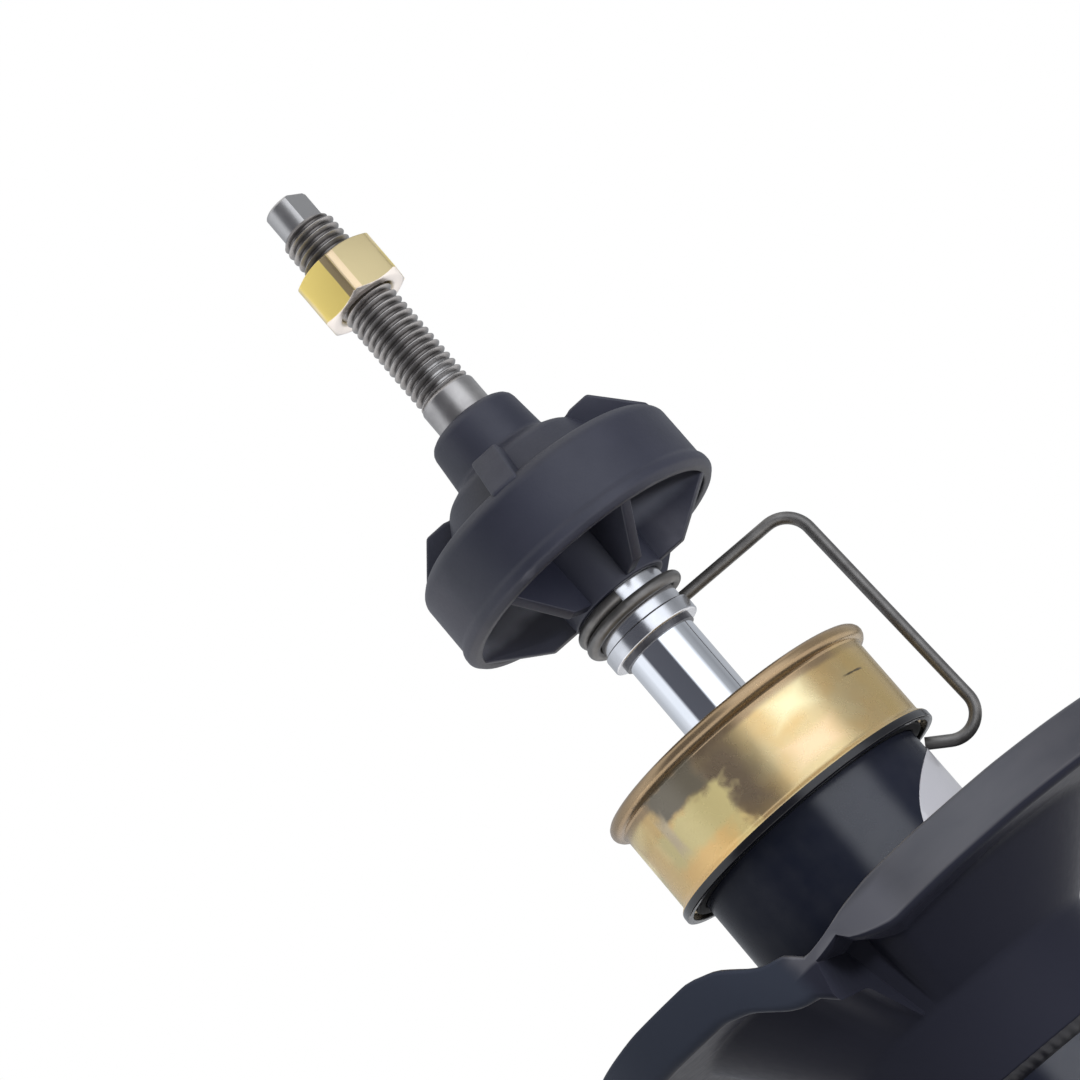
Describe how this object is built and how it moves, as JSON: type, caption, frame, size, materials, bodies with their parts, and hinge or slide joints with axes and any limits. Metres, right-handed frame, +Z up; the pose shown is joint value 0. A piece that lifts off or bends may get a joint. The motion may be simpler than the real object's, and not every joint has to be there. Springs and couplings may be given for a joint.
{
  "type": "strut shock absorber",
  "caption": "Telescopic suspension strut with knuckle bracket, spring seat, plated top cap, chromed rod with a moulded cup and threaded stud, and a wire clip that holds the rod in.",
  "frame": {"origin": "middle of the two knuckle bolt holes, half way between the bracket's ears", "axes": "+Z runs up the strut towards the rod's tip, +X points from the strut to the bolts, and the bolts lie along Y"},
  "size_m": [0.1514, 0.1514, 0.514],
  "materials": {
    "black_paint": "glossy black paint on steel",
    "yellow_zinc": "yellow chromate zinc plate, iridescent",
    "yellow_zinc_nut": "pale yellow zinc plate",
    "rubber": "black nitrile rubber",
    "plain_steel": "bare steel",
    "sintered_steel": "sintered iron, matt",
    "bush_bronze": "bronze bush",
    "chrome_rod": "hard chrome, ground; its stud is machined steel",
    "band_plastic": "filled fluoropolymer",
    "bumper_plastic": "hard elastomer",
    "dark_steel": "oiled spring steel",
    "collar_steel": "bright turned steel",
    "moulded_plastic": "matt dark moulding",
    "wire_steel": "oiled drawn wire, brown grey"
  },
  "bodies": {
    "strut_body": {"outer_tube": "black_paint", "tube_base": "black_paint", "spring_seat": "black_paint", "knuckle_bracket": "black_paint", "bracket_brace": "black_paint", "hose_bracket": "black_paint", "top_cap": "yellow_zinc", "cap_ring": "rubber", "pressure_tube": "plain_steel", "base_valve_body": "sintered_steel", "base_valve_disc": "plain_steel", "base_valve_pin": "plain_steel", "rod_guide": "sintered_steel", "guide_bush": "bush_bronze", "rod_seal": "rubber", "seal_spring": "plain_steel", "guide_o_ring": "rubber"},
    "rod_slider": {"piston_band": "band_plastic"},
    "rod": {"piston_rod": "chrome_rod", "piston": "sintered_steel", "piston_discs": "plain_steel", "piston_plate": "plain_steel", "piston_nut": "plain_steel", "rebound_stop": "plain_steel", "rebound_bumper": "bumper_plastic", "collar_ring": "dark_steel", "stop_collar": "collar_steel", "bump_cup": "moulded_plastic", "retaining_wire": "wire_steel"},
    "nut": {"top_nut": "yellow_zinc_nut"}
  },
  "joints": [
    {"name": "rod_slide", "type": "slide", "parent": "strut_body", "child": "rod_slider", "axis": [0, 0, 1], "range_m": [-0.024, 0.15], "deforming": ["retaining_wire"]},
    {"name": "rod_turn", "type": "hinge", "parent": "rod_slider", "child": "rod", "pos_m": [-0.048, 0, 0.3], "axis": [0, 0, 1], "continuous": true},
    {"name": "nut_travel", "type": "slide", "parent": "rod", "child": "nut", "axis": [0, 0, 1], "range_m": [-0.0289, 0.0108]}
  ]
}
